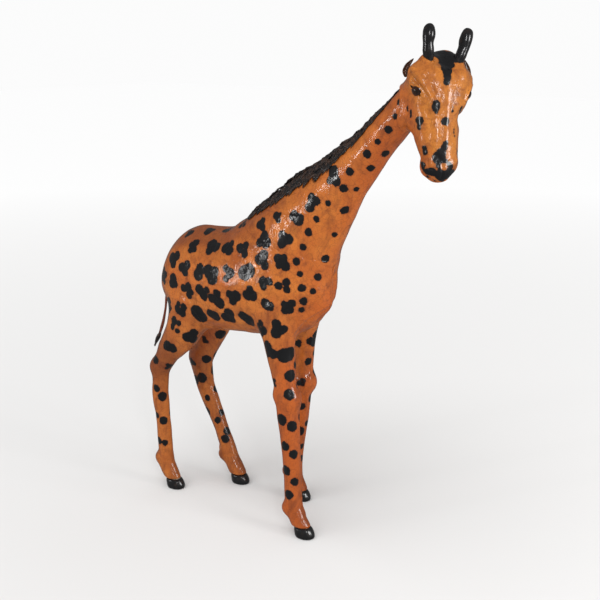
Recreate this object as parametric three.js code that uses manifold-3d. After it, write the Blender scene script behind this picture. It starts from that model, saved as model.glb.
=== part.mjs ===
// A standing giraffe figure: shaped cores on a wire armature, covered with glued leather and varnished.
// Millimetres, +Z up. The giraffe faces -Y, so its right side is towards -X, and its soles stand on Z = 0.
import * as THREE from "three";
import { mergeVertices } from "three/addons/utils/BufferGeometryUtils.js";
import Module from "manifold-3d";

// ---------------------------------------------------------------- driving dimensions
const HIDE = 1.5; // thickness of the leather
const GAP = 0.3; // clearance between two pieces that touch
const CORE = -(HIDE + GAP); // how far a core lies inside the leather's outer surface
const WIRE = 1.5; // radius of a leg's steel wire
const DOWEL = 4; // radius of the wooden dowel in the neck
const HOOF_HEIGHT = 9;
const GROUND = 3.5; // height of the soles in the stations' own frame
const EYE = 4; // radius of a glass eye
// The mane runs between two places along the neck, from 0 to 1.
const MANE = { start: 0.07, end: 0.84, steps: 16, width: 2.8, height: 2.8 };

// The head's own frame: its origin lies between the horns, and it looks down to the giraffe's right.
const HEAD_DOWN = THREE.MathUtils.degToRad(72);
const HEAD_RIGHT = THREE.MathUtils.degToRad(38);
const HEAD_TILT = THREE.MathUtils.degToRad(8); // its left side hangs lower
const HEAD_AT = place(172.7, -3.6, 412.3);

const BEYOND = 500; // reaches past the figure on every side

// Facets round a body and along it.
const FINE = { sides: 16, steps: 14 };
const PLAIN = { sides: 10, steps: 10 };
const SMALL = { sides: 8, steps: 7 };

const LEATHER = { color: 0xb5652b, roughness: 0.3 };
const PULP = { color: 0xb9a98a, roughness: 0.9 };
const WOOD = { color: 0xc9a26b, roughness: 0.6 };
const STEEL = { color: 0x9a9a98, roughness: 0.4, metalness: 1 };
const BLACK = { color: 0x14110f, roughness: 0.25 };
const GLASS = { color: 0x2a1208, roughness: 0.05 };

// ---------------------------------------------------------------- solids
const wasm = await Module();
wasm.setup();

function solidOf(geometry) {
  const bare = new THREE.BufferGeometry();
  bare.setAttribute("position", geometry.getAttribute("position"));
  bare.setIndex(geometry.getIndex());
  const merged = mergeVertices(bare, 1e-4);
  return new wasm.Manifold(
    new wasm.Mesh({
      numProp: 3,
      vertProperties: merged.attributes.position.array,
      triVerts: new Uint32Array(merged.index.array),
    }),
  );
}

function geometryOf(solid) {
  const { vertProperties, triVerts } = solid.getMesh();
  const geometry = new THREE.BufferGeometry();
  geometry.setAttribute("position", new THREE.BufferAttribute(vertProperties, 3));
  geometry.setIndex(new THREE.BufferAttribute(triVerts, 1));
  geometry.computeVertexNormals();
  return geometry;
}

// What is left of a cut solid once its loose slivers are swept away.
function largest(solid) {
  return solid.decompose().reduce((most, piece) => (piece.volume() > most.volume() ? piece : most));
}

const cut = (solid, ...tools) => tools.reduce((left, tool) => left.subtract(tool), solid);

// A place on the figure, from how far forward, how far to the giraffe's left and how high it is.
function place(forward, left, up) {
  return new THREE.Vector3(left, -forward, up);
}

// A closed skin over a stack of rings with equally many points.
function skin(rings) {
  const sides = rings[0].length;
  const last = rings.length - 1;
  const middle = (ring) => ring.reduce((sum, p) => sum.add(p), new THREE.Vector3()).divideScalar(sides);
  const points = [middle(rings[0]), ...rings.flat(), middle(rings[last])];
  const at = (ring, side) => 1 + ring * sides + (side % sides);
  const index = [];
  for (let side = 0; side < sides; side++) {
    index.push(0, at(0, side + 1), at(0, side));
    index.push(points.length - 1, at(last, side), at(last, side + 1));
    for (let ring = 0; ring < last; ring++) {
      index.push(at(ring, side), at(ring, side + 1), at(ring + 1, side + 1));
      index.push(at(ring, side), at(ring + 1, side + 1), at(ring + 1, side));
    }
  }
  const geometry = new THREE.BufferGeometry().setFromPoints(points);
  geometry.setIndex(index);
  return geometry;
}

// Where a body's stations pass at t, from 0 to 1, and which way its section faces there.
// A station is [forward, left, up, half width, half depth].
function sectionAt(stations, t) {
  const spine = new THREE.CatmullRomCurve3(stations.map(([f, l, u]) => place(f, l, u)));
  const girth = new THREE.CatmullRomCurve3(stations.map(([, , , w, d]) => new THREE.Vector3(w, d, 0)));
  const along = spine.getTangent(t);
  const across = new THREE.Vector3(1, 0, 0).addScaledVector(along, -along.x).normalize();
  const deep = new THREE.Vector3().crossVectors(along, across);
  const { x: width, y: depth } = girth.getPoint(t);
  return { centre: spine.getPoint(t), across, deep, width, depth };
}

// An ellipse of points in the plane of two directions.
function ellipse(centre, across, width, deep, depth, sides) {
  const at = (angle) =>
    centre
      .clone()
      .addScaledVector(across, width * Math.cos(angle))
      .addScaledVector(deep, depth * Math.sin(angle));
  return Array.from({ length: sides }, (_, side) => at((2 * Math.PI * side) / sides));
}

// Moves every point of a closed skin out along its normal.
function swell(geometry, grow) {
  geometry.computeVertexNormals();
  const { position, normal } = geometry.attributes;
  const point = new THREE.Vector3();
  const out = new THREE.Vector3();
  for (let i = 0; i < position.count; i++) {
    point.fromBufferAttribute(position, i).addScaledVector(out.fromBufferAttribute(normal, i), grow);
    position.setXYZ(i, ...point);
  }
  return geometry;
}

// A body round the smooth spine of its stations. grow moves the whole surface out.
function body(stations, { sides, steps }, grow = 0) {
  const rings = [];
  for (let step = 0; step <= steps; step++) {
    const { centre, across, deep, width, depth } = sectionAt(stations, step / steps);
    rings.push(ellipse(centre, across, width, deep, depth, sides));
  }
  return swell(skin(rings), grow);
}

// A round rod along the spine of a body.
function rod(stations, radius, grow) {
  return body(stations.map(([f, l, u]) => [f, l, u, radius, radius]), SMALL, grow);
}

function block(low, high) {
  const size = new THREE.Vector3().subVectors(high, low);
  const centre = new THREE.Vector3().addVectors(low, high).divideScalar(2);
  return solidOf(new THREE.BoxGeometry(size.x, size.y, size.z).translate(centre.x, centre.y, centre.z));
}

// ---------------------------------------------------------------- the figure's shape
// Stations: [forward, left, up, half width, half depth].
const TORSO = [
  [-94, 0, 216, 9, 14],
  [-88, 0, 214, 20, 28],
  [-72, 0, 212.5, 30, 40.5],
  [-48, 0, 214, 34, 48],
  [-16, 0, 216, 36, 47],
  [16, 0, 221, 35, 50],
  [44, 0, 225, 33, 49],
  [66, 0, 228, 27, 40],
  [83, 0, 229, 13, 24],
];
const NECK = [
  [26, 0, 237, 28, 42],
  [50, 0, 262, 27, 40],
  [76, -1, 291, 21, 31.5],
  [101, -3, 317, 16, 21.5],
  [127, -6, 343, 14, 15.5],
  [151, -9, 367, 13, 13.5],
  [165, -10, 383, 12, 12.5],
  [177, -10, 395, 9, 10],
];
const LEGS = {
  front_right: [
    [44, -14, 214, 15, 22],
    [44, -20, 186, 13, 18],
    [49, -22, 160, 10, 12.5],
    [55.5, -23, 130, 8.5, 10],
    [58, -24, 105, 8.5, 9.5],
    [62, -25, 75, 7, 8.5],
    [64, -26, 45, 6.8, 8],
    [66, -27, 28, 7, 8.5],
    [72.5, -28, 16, 7, 8],
    [78, -28, 7, 7.5, 8.5],
  ],
  front_left: [
    [44, 14, 214, 15, 22],
    [40, 20, 186, 13, 19],
    [39, 22, 160, 10, 13.5],
    [38, 23, 130, 9, 11.5],
    [37.5, 24, 105, 8.5, 9],
    [34, 25, 75, 7, 8.5],
    [29, 26, 45, 6.8, 8],
    [27, 27, 26, 7, 8.5],
    [32, 28, 14, 7, 8],
    [35, 28, 7, 7.5, 8.5],
  ],
  hind_right: [
    [-52, -12, 212, 16, 29],
    [-56, -18, 184, 15, 22.5],
    [-69.5, -20, 156, 12, 16.5],
    [-87.5, -21, 134, 9, 10.5],
    [-96, -21, 112, 7.5, 8.5],
    [-92, -22, 80, 6.5, 8],
    [-90.5, -22, 50, 6.5, 7.5],
    [-90, -22, 28, 7, 8],
    [-82, -22, 14, 7, 8],
    [-79, -22, 7, 7.5, 8.5],
  ],
  hind_left: [
    [-52, 12, 212, 16, 29],
    [-57, 18, 184, 15, 24],
    [-66, 20, 156, 12, 19],
    [-77, 21, 134, 9, 14.5],
    [-79, 21, 112, 8, 11],
    [-67, 22, 80, 6.8, 7.5],
    [-53, 22, 50, 6.3, 7],
    [-45, 22, 28, 7, 8],
    [-37, 22, 14, 7, 8],
    [-34, 22, 7, 7.5, 8.5],
  ],
};

// The head, in its own frame: forward is towards the nose and up is out of the forehead.
const HEAD = [
  [0, 1, 4, 9, 6],
  [5, 3, 2.5, 15.5, 12],
  [12, 4, 1, 22, 16],
  [22, 4, 1, 27, 18],
  [32, 3, 0, 24.5, 18],
  [40, 0, -1, 19.3, 17],
  [50, -0.5, -2, 18, 15.5],
  [59, -1.5, -1, 17, 14],
  [73, -0.5, -1, 14, 11.5],
  [84, -1, -2, 11.7, 9.5],
  [91, -2, -3, 6, 5],
];
const HORNS = {
  right: [
    [12, -8.5, 8, 1.6, 1.6],
    [5, -11, 13, 4.2, 4.2],
    [-2, -12, 16, 3.6, 3.6],
    [-8, -12, 18, 4.6, 4.6],
    [-13, -12, 19.5, 4.2, 4.2],
    [-15.5, -12, 20, 2, 2],
  ],
  left: [
    [13, 11, 8, 1.6, 1.6],
    [7, 14.5, 13, 4.4, 4.4],
    [0, 17, 16, 3.8, 3.8],
    [-6, 18.5, 18, 4.8, 4.8],
    [-11, 20, 19.5, 4.3, 4.3],
    [-13.5, 20.5, 20, 2, 2],
  ],
};
const EARS = {
  right: [
    [17, -20, -5, 1.6, 1],
    [11, -19.5, -7, 3, 1],
    [4, -17, -9, 3.4, 1],
    [-2, -13.5, -10, 1, 0.7],
  ],
  left: [
    [25, 27, -6, 1.6, 1],
    [18, 32, -4, 4, 1],
    [11, 33, -2, 4.2, 1],
    [4, 30, 0, 1, 0.7],
  ],
};
const EYES = {
  right: [28.5, -20.5, 9],
  left: [28.5, 23.5, 8.5],
};

// The tail hangs close behind the rump, and its root is set into the torso.
const TAIL_THONG = [
  [-84, 0, 206, 1.3, 1.3],
  [-96, 0, 203, 1.5, 1.3],
  [-102, 0, 191, 1.6, 1.2],
  [-104, 0, 175, 1.5, 1.1],
  [-108, 0, 160, 1.4, 1],
  [-113, 0, 148, 1.4, 1],
];
const TAIL_TUFT = [
  [-113.2, 0, 147.5, 1.6, 1.4],
  [-115, 0, 144, 2.6, 2.2],
  [-118, 0, 139, 2.2, 1.9],
  [-121, 0, 133, 0.8, 0.7],
];

// A hoof's rings: [up, forward of the leg's end, half length, half width].
const HOOF = [
  [0, 0.5, 9.4, 7.5],
  [4, 0, 9.3, 7.5],
  [HOOF_HEIGHT, -1.5, 8.2, 7],
];

const HEAD_FRAME = new THREE.Matrix4().makeRotationFromEuler(
  new THREE.Euler(HEAD_DOWN, HEAD_TILT, -HEAD_RIGHT, "ZXY"),
);
HEAD_FRAME.setPosition(HEAD_AT);

// The solids, each grown by a distance out of its own surface.
const ofHead = (geometry) => solidOf(geometry.applyMatrix4(HEAD_FRAME));
const torso = (grow) => solidOf(body(TORSO, FINE, grow));
const neck = (grow) => solidOf(body(NECK, FINE, grow));
const head = (grow) => ofHead(body(HEAD, FINE, grow));
const leg = (name, grow) => solidOf(body(LEGS[name], PLAIN, grow));
const wire = (name, grow) => solidOf(rod(LEGS[name], WIRE, grow));
const dowel = (grow) => solidOf(rod(NECK, DOWEL, grow));
const horn = (side, grow) => ofHead(body(HORNS[side], SMALL, grow));
const ear = (side, grow) => ofHead(body(EARS[side], SMALL, grow));
const thong = (grow) => solidOf(body(TAIL_THONG, SMALL, grow));
const tuft = (grow) => solidOf(body(TAIL_TUFT, SMALL, grow));

function eye(side, grow) {
  const [forward, left, up] = EYES[side];
  const bead = new THREE.SphereGeometry(EYE + grow, 12, 8);
  return ofHead(bead.translate(...place(forward, left, up)));
}

function hoof([forward, left]) {
  const [ahead, aside] = [new THREE.Vector3(0, -1, 0), new THREE.Vector3(1, 0, 0)];
  const ring = ([up, shift, length, width]) =>
    ellipse(place(forward + shift, left, GROUND + up), ahead, length, aside, width, PLAIN.sides);
  return solidOf(skin(HOOF.map(ring)));
}

// The mane follows the crest of the neck from the withers to the nape.
function mane() {
  const rings = [];
  for (let step = 0; step <= MANE.steps; step++) {
    const share = step / MANE.steps;
    const t = THREE.MathUtils.lerp(MANE.start, MANE.end, share);
    const { centre, across, deep, depth } = sectionAt(NECK, t);
    const size = 0.45 + 0.55 * Math.sin(Math.PI * share);
    centre.addScaledVector(deep, depth);
    rings.push(ellipse(centre, across, MANE.width * size, deep, MANE.height * size, SMALL.sides));
  }
  return solidOf(skin(rings));
}

// ---------------------------------------------------------------- the pieces
const SIDES = ["right", "left"];
const legNames = Object.keys(LEGS);
const ankle = GROUND + HOOF_HEIGHT + GAP;
const below = block(new THREE.Vector3(-BEYOND, -BEYOND, -BEYOND), new THREE.Vector3(BEYOND, BEYOND, ankle));
const halves = {
  right: block(new THREE.Vector3(-BEYOND, -BEYOND, 0), new THREE.Vector3(-GAP / 2, BEYOND, BEYOND)),
  left: block(new THREE.Vector3(GAP / 2, -BEYOND, 0), new THREE.Vector3(BEYOND, BEYOND, BEYOND)),
};

const root = new THREE.Group();
function add(name, solid, finish) {
  const mesh = new THREE.Mesh(geometryOf(largest(solid)), new THREE.MeshStandardMaterial(finish));
  mesh.name = name;
  root.add(mesh);
}

const armature = [dowel(GAP), ...legNames.map((name) => wire(name, GAP))];
add("torso_core", cut(torso(CORE), ...armature, thong(GAP)), PULP);
add("neck_core", cut(neck(CORE), torso(-HIDE), head(-HIDE), dowel(GAP)), PULP);
add("neck_dowel", dowel(0), WOOD);

const fittings = SIDES.flatMap((side) => [horn(side, GAP), eye(side, GAP)]);
add("head_core", cut(head(CORE), dowel(GAP), ...fittings), PULP);
add("head_hide", cut(head(0), head(-HIDE), neck(GAP), ...fittings), LEATHER);
add("neck_hide", cut(neck(0), neck(-HIDE), torso(-HIDE), head(-HIDE)), LEATHER);

const limbs = [neck(GAP), thong(GAP), ...legNames.map((name) => leg(name, GAP))];
const jacket = cut(torso(0), torso(-HIDE), ...limbs);
for (const side of SIDES) {
  add("torso_hide_" + side, jacket.intersect(halves[side]), LEATHER);
  add("horn_" + side, horn(side, 0), BLACK);
  add("eye_" + side, eye(side, 0), GLASS);
  add("ear_" + side, cut(ear(side, 0), head(GAP), neck(GAP)), LEATHER);
}
for (const name of legNames) {
  const foot = LEGS[name].at(-1);
  add("leg_core_" + name, cut(leg(name, CORE), torso(-HIDE), wire(name, GAP), below), PULP);
  add("leg_wire_" + name, wire(name, 0), STEEL);
  add("leg_hide_" + name, cut(leg(name, 0), leg(name, -HIDE), torso(-HIDE), below), LEATHER);
  add("hoof_" + name, cut(hoof(foot), wire(name, GAP)), BLACK);
}
add("mane", cut(mane(), neck(GAP), torso(GAP), head(GAP)), BLACK);
add("tail_thong", cut(thong(0), tuft(GAP)), LEATHER);
add("tail_tuft", tuft(0), BLACK);

// The origin is on the ground, under the middle of the whole figure.
const bounds = new THREE.Box3().setFromObject(root);
const middle = bounds.getCenter(new THREE.Vector3());
root.position.set(-middle.x, -middle.y, -bounds.min.z);
export default root;
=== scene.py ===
import math

import bpy
import numpy as np
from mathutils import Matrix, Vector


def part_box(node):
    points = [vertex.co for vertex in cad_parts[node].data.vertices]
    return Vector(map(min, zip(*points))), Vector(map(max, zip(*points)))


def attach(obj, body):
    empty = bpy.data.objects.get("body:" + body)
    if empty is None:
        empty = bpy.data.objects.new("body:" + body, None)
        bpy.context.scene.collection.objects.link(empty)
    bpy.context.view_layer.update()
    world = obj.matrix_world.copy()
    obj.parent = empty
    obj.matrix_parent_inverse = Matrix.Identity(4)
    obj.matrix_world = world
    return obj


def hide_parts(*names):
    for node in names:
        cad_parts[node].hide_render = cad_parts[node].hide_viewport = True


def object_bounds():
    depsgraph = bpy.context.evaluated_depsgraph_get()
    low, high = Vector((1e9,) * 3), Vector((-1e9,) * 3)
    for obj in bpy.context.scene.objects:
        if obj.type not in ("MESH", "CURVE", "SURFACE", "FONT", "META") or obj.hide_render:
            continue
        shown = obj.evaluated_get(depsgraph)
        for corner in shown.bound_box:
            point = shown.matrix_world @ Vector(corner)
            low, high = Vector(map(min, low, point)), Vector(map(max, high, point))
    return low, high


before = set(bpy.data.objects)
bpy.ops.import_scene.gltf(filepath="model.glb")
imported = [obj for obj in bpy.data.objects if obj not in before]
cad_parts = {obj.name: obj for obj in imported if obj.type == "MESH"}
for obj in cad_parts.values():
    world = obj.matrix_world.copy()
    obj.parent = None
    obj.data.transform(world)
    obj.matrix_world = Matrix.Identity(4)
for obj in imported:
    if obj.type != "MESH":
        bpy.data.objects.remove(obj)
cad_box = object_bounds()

import openvdb
from mathutils import Matrix, Vector

# Lengths are millimetres until a mesh is made. A place on the figure is (forward, left, up) from
# the frame's origin, and a place on the head is the same in the head's own turned frame.
MM = 0.001
HIDE = 1.5  # thickness of the leather
GAP = 0.3  # what the CAD leaves between two pieces
REACH = 14.0  # how far distances are worked out
BODY_STEP = 1.0  # spacing of the points that the body's surface is made from
FINE_STEP = 0.55  # and of those for the head and the hooves

SIDES = ("right", "left")
LEGS = ("front_right", "front_left", "hind_right", "hind_left")


def place(forward, left, up):
    return np.array((left, -forward, up), float)


def cad_mesh(node):
    """A CAD node's corners in millimetres, and its triangles."""
    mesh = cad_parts[node].data
    mesh.calc_loop_triangles()
    points = np.empty(len(mesh.vertices) * 3, np.float32)
    mesh.vertices.foreach_get("co", points)
    triangles = np.empty(len(mesh.loop_triangles) * 3, np.int32)
    mesh.loop_triangles.foreach_get("vertices", triangles)
    return points.reshape(-1, 3) / MM, triangles.reshape(-1, 3)


def box_of(nodes):
    boxes = [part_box(node) for node in nodes]
    low = np.min([b[0] for b in boxes], axis=0) / MM
    high = np.max([b[1] for b in boxes], axis=0) / MM
    return low, high


def unit(v):
    return v / np.linalg.norm(v)


# ------------------ the head's own frame
HEAD_DOWN, HEAD_RIGHT, HEAD_TILT = math.radians(72), math.radians(38), math.radians(8)
EYES = {"right": (28.5, -20.5, 9), "left": (28.5, 23.5, 8.5)}
HEAD_TURN = np.array(
    Matrix.Rotation(-HEAD_RIGHT, 3, "Z")
    @ Matrix.Rotation(HEAD_DOWN, 3, "X")
    @ Matrix.Rotation(HEAD_TILT, 3, "Y")
)
eye_middle = np.mean([box_of(["eye_" + side]) for side in SIDES], axis=(0, 1))
HEAD_AT = eye_middle - HEAD_TURN @ place(*np.mean([EYES[side] for side in SIDES], axis=0))


def on_head(forward, left, up):
    return HEAD_AT + HEAD_TURN @ place(forward, left, up)


# ------------------ space filled with distances
def blend(a, b, width):
    """The smaller of two distances, with a smooth fillet that wide where they meet."""
    h = np.clip(0.5 + 0.5 * (b - a) / width, 0, 1)
    return b * (1 - h) + a * h - width * h * (1 - h)


def carve(a, b, width):
    """The larger of two distances, with the edge rounded that much."""
    return -blend(-a, -b, width)


def soften(field, sigma):
    """A Gaussian blur over sigma points along each axis."""
    half = int(math.ceil(2.5 * sigma))
    weights = np.exp(-0.5 * (np.arange(-half, half + 1) / sigma) ** 2)
    weights /= weights.sum()
    for axis in range(3):
        count = field.shape[axis]
        ends = [(half, half) if a == axis else (0, 0) for a in range(3)]
        padded = np.pad(field, ends, mode="edge")
        field = np.zeros_like(field)
        for i, weight in enumerate(weights):
            part = tuple(slice(i, i + count) if a == axis else slice(None) for a in range(3))
            field += np.float32(weight) * padded[part]
    return field


class Space:
    """A block of evenly spaced points in the frame."""

    def __init__(self, low, high, step):
        self.step = step
        self.first = np.floor(np.array(low) / step).astype(int)
        self.shape = tuple(np.ceil(np.array(high) / step).astype(int) - self.first + 1)

    def axes(self, part=(slice(None),) * 3):
        """The points' coordinates along x, y and z, ready to be combined."""
        lines = [(self.first[a] + np.arange(self.shape[a])[part[a]]) * self.step for a in range(3)]
        shapes = np.where(np.eye(3, dtype=bool), -1, 1)
        return [np.float32(line).reshape(shape) for line, shape in zip(lines, shapes)]

    def part(self, low, high):
        """The slices that cover a box."""
        start = np.floor(np.array(low) / self.step).astype(int) - self.first
        stop = np.ceil(np.array(high) / self.step).astype(int) - self.first + 1
        return tuple(slice(max(0, a), max(0, min(n, b))) for a, b, n in zip(start, stop, self.shape))

    def solid(self, nodes, blur, grow):
        """Distance to some CAD solids together, with their facets blurred and then grown."""
        low, high = box_of(nodes)
        part = self.part(low - REACH, high + REACH)
        first = self.first + [s.start for s in part]
        shape = [s.stop - s.start for s in part]
        near = np.full(shape, REACH, np.float32)
        for node in nodes:
            points, triangles = cad_mesh(node)
            grid = openvdb.FloatGrid.createLevelSetFromPolygons(
                points.astype(np.float32),
                triangles.astype(np.uint32),
                np.zeros((0, 4), np.uint32),
                openvdb.createLinearTransform(self.step),
                REACH / self.step,
            )
            one = np.empty(shape, np.float32)
            grid.copyToArray(one, ijk=tuple(int(i) for i in first))
            near = np.minimum(near, one)
        field = np.full(self.shape, REACH, np.float32)
        field[part] = soften(near, blur / self.step) - grow
        return field

    def ripple(self, size, height, seed):
        """Smooth random swelling: lumps of about that size, up to that height."""
        rng = np.random.default_rng(seed)
        spans = [n * self.step / size for n in self.shape]
        lattice = rng.uniform(-height, height, [int(s) + 3 for s in spans])
        for a in range(3):
            at = np.arange(self.shape[a]) * self.step / size
            cell = at.astype(int)
            share = at - cell
            share = share * share * (3 - 2 * share)
            weights = np.zeros((self.shape[a], lattice.shape[a]))
            weights[np.arange(self.shape[a]), cell] = 1 - share
            weights[np.arange(self.shape[a]), cell + 1] += share
            lattice = np.moveaxis(np.tensordot(weights, lattice, (1, a)), 0, a)
        return lattice.astype(np.float32)

    def ball(self, centre, radius):
        away = [c - o for c, o in zip(self.axes(), centre)]
        return np.sqrt(away[0] ** 2 + away[1] ** 2 + away[2] ** 2) - radius

    def line(self, points, reach):
        """A part of the block round a line through points, and the distance to the line there."""
        points = np.array(points)
        part = self.part(points.min(0) - reach, points.max(0) + reach)
        x, y, z = self.axes(part)
        nearest = None
        for a, b in zip(points[:-1], points[1:]):
            d = b - a
            share = ((x - a[0]) * d[0] + (y - a[1]) * d[1] + (z - a[2]) * d[2]) / (d @ d)
            share = np.clip(share, 0, 1)
            gone = [c - a[i] - share * d[i] for i, c in enumerate((x, y, z))]
            away = np.sqrt(gone[0] ** 2 + gone[1] ** 2 + gone[2] ** 2)
            nearest = away if nearest is None else np.minimum(nearest, away)
        return part, nearest

    def fold(self, field, points, width, height):
        """Raises a ridge along a line, or sinks a groove where height is negative."""
        part, away = self.line(points, 3 * width)
        field[part] -= height * np.exp(-((away / width) ** 2))

    def sample(self, field, point):
        """The distance and its gradient at a point."""
        at = np.array(point) / self.step - self.first
        cell = np.clip(at.astype(int), 1, np.array(self.shape) - 3)
        share = at - cell

        def value(shift):
            cube = field[tuple(slice(c + s, c + s + 2) for c, s in zip(cell, shift))].astype(float)
            for s in share:
                cube = cube[0] * (1 - s) + cube[1] * s
            return cube

        slope = [value(d) - value([-i for i in d]) for d in np.eye(3, dtype=int)]
        return value((0, 0, 0)), np.array(slope) / (2 * self.step)

    def settle(self, field, point):
        """The place on the surface nearest to a point, and the way out of the surface there."""
        point = np.array(point, float)
        for _ in range(6):
            distance, slope = self.sample(field, point)
            point = point - distance * slope / max(slope @ slope, 0.2)
        return point, unit(self.sample(field, point)[1])

    def quads(self, field):
        grid = openvdb.FloatGrid(REACH)
        grid.copyFromArray(np.clip(field, -REACH, REACH), ijk=tuple(int(i) for i in self.first))
        grid.transform = openvdb.createLinearTransform(self.step)
        return grid.convertToQuads(0.0)


# ------------------ meshes
def mesh_object(name, points, faces):
    """A smooth-shaded object from points in millimetres and faces of equal length."""
    mesh = bpy.data.meshes.new(name)
    faces = np.array(faces)
    mesh.vertices.add(len(points))
    mesh.vertices.foreach_set("co", (np.array(points) * MM).astype(np.float32).ravel())
    mesh.loops.add(faces.size)
    mesh.loops.foreach_set("vertex_index", faces.astype(np.int32).ravel())
    mesh.polygons.add(len(faces))
    mesh.polygons.foreach_set("loop_start", np.arange(len(faces), dtype=np.int32) * faces.shape[1])
    mesh.update(calc_edges=True)
    mesh.validate()
    mesh.shade_smooth()
    obj = bpy.data.objects.new(name, mesh)
    bpy.context.scene.collection.objects.link(obj)
    return obj


def finish_piece(obj, slot, material, *nodes):
    obj.data.materials.append(material)
    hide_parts(*nodes)
    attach(obj, "root")
    return obj


def attribute(obj, name, values):
    data = obj.data.attributes.new(name, "FLOAT", "POINT")
    data.data.foreach_set("value", np.asarray(values, np.float32))


def points_of(obj):
    points = np.empty(len(obj.data.vertices) * 3, np.float32)
    obj.data.vertices.foreach_get("co", points)
    normals = np.empty(len(obj.data.vertices) * 3, np.float32)
    obj.data.vertex_normals.foreach_get("vector", normals)
    return points.reshape(-1, 3) / MM, normals.reshape(-1, 3)


# ------------------ the body's surface
low, high = np.array(cad_box[0]) / MM, np.array(cad_box[1]) / MM
body = Space(low - 6, high + 6, BODY_STEP)
OUT = HIDE + GAP  # from a core's surface to the leather's

# Each core's facets are blurred over so many millimetres, and it grows by OUT and by what a blur
# that wide takes off a round form.
torso = body.solid(["torso_core"], 3.5, OUT + 0.75)
neck = body.solid(["neck_core", "neck_dowel"], 3.0, OUT + 0.55)
legs = {leg: body.solid(["leg_core_" + leg, "leg_wire_" + leg], 1.8, OUT + 0.45) for leg in LEGS}

surface = blend(torso, neck, 16)
for leg in LEGS:
    surface = blend(surface, legs[leg], 9)
surface += body.ripple(19, 0.55, 3) + body.ripple(8, 0.22, 4)

# Knees, hocks, heels and cuffs stand out of the legs: [forward, left, up, radius].
JOINTS = {
    "front_right": [(19.5, -22, 122, 8), (8.5, -23.5, 124, 5), (19.5, -27.5, 22.5, 5)],
    "front_left": [(4, 22.5, 121, 9.5), (-20, 27, 26, 5)],
    "hind_right": [(-136, -21, 121, 7.5), (-137, -22, 27, 5.5)],
    "hind_left": [(-122, 21, 122, 8), (-94, 22, 25, 5.5)],
}
for leg, bumps in JOINTS.items():
    for forward, left, up, radius in bumps:
        surface = blend(surface, body.ball(place(forward, left, up), radius), 7)

# A seam stands up along each leg: front ones down the front, hind ones down the back.
SEAMS = {
    "front_right": [(20, -15, 165), (27, -17, 128), (29, -18, 100), (31, -19, 70), (33, -21, 40),
                    (37, -23, 20)],
    "front_left": [(16, 15, 165), (14, 16, 128), (9, 18, 95), (3, 19, 65), (-4, 21, 35), (-1, 23, 18)],
    "hind_right": [(-133, -16, 150), (-144, -19, 125), (-141, -19, 95), (-139, -20, 60), (-137, -20, 30)],
    "hind_left": [(-129, 16, 150), (-129, 18, 120), (-116, 18, 85), (-102, 20, 50), (-94, 20, 30)],
}
for leg, route in SEAMS.items():
    on_leg = [body.settle(surface, place(*p))[0] for p in route]
    body.fold(surface, on_leg, 1.3, 1.0)

# Folds in the leather: a route over the surface, a width and a height.
FOLDS = [
    ([(52, -8, 214), (46, -18, 204), (36, -24, 196), (22, -28, 190)], 2.4, -0.9),
    ([(50, -4, 206), (42, -14, 197), (32, -20, 190), (26, -23, 180)], 2.2, 0.9),
    ([(44, -8, 199), (36, -16, 190), (29, -18, 178)], 1.8, -0.8),
    ([(47, 10, 204), (38, 20, 194), (26, 26, 186)], 2.2, -0.9),
    ([(53, 0, 232), (53.5, 0, 222), (51, 0, 210), (45, 0, 198)], 2.5, 0.9),
    ([(-80, -28, 172), (-72, -22, 166), (-64, -12, 163)], 2.6, -1.0),
    ([(-82, -27, 164), (-88, -24, 152), (-98, -24, 142)], 2.4, 0.7),
    ([(-128, -10, 178), (-131, -14, 160), (-136, -16, 146)], 2.0, 0.8),
    ([(-125, -20, 190), (-128, -24, 170), (-132, -25, 152)], 2.0, -0.6),
    ([(62, -14, 268), (72, -14, 290), (86, -12, 310), (98, -12, 326)], 2.2, -0.55),
    ([(48, -18, 256), (56, -16, 240), (54, -12, 226)], 2.4, -0.6),
    ([(30, -26, 262), (38, -25, 244), (36, -26, 226)], 3.0, -0.5),
    ([(51, 8, 229), (51, 8, 227)], 1.8, 2.6),  # the tab on the chest
]
for route, width, height in FOLDS:
    body.fold(surface, [body.settle(surface, place(*p))[0] for p in route], width, height)

# ------------------ the head's surface
head_low, head_high = box_of(["head_hide", "horn_right", "horn_left"])
skull = Space(head_low - 7, head_high + 7, FINE_STEP)
head = skull.solid(["head_core"], 2.4, OUT + 0.45)
neck_there = skull.solid(["neck_core", "neck_dowel"], 3.0, OUT + 0.5)


def head_route(points):
    return [skull.settle(head, on_head(*p))[0] for p in points]


# Swellings: place, radius and how softly each runs into the head.
SWELLINGS = [
    ((7.5, -10.5, 10), 5.2, 4),  # the leather climbs both horns
    ((9, 13.5, 10), 5.4, 4),
    ((14, -17, 5), 5, 8),  # in front of the right ear
    ((17, -13, 11.5), 4.5, 7),  # brows
    ((18, 15, 11), 4.5, 6),
    ((79, -11.5, 0), 5.0, 5),  # nostrils
    ((80, 6, 1.5), 5, 5),
    ((83, -9.5, -3), 5.4, 5),
    ((85, -3, -0.5), 6, 6),  # upper lip
    ((85, -2.5, -6), 5, 5),  # chin
    ((46, -12, -12), 6, 8),  # cheeks
    ((46, 10, -12), 6, 8),
]
for at, radius, run in SWELLINGS:
    head = blend(head, skull.ball(on_head(*at), radius), run)

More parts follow.
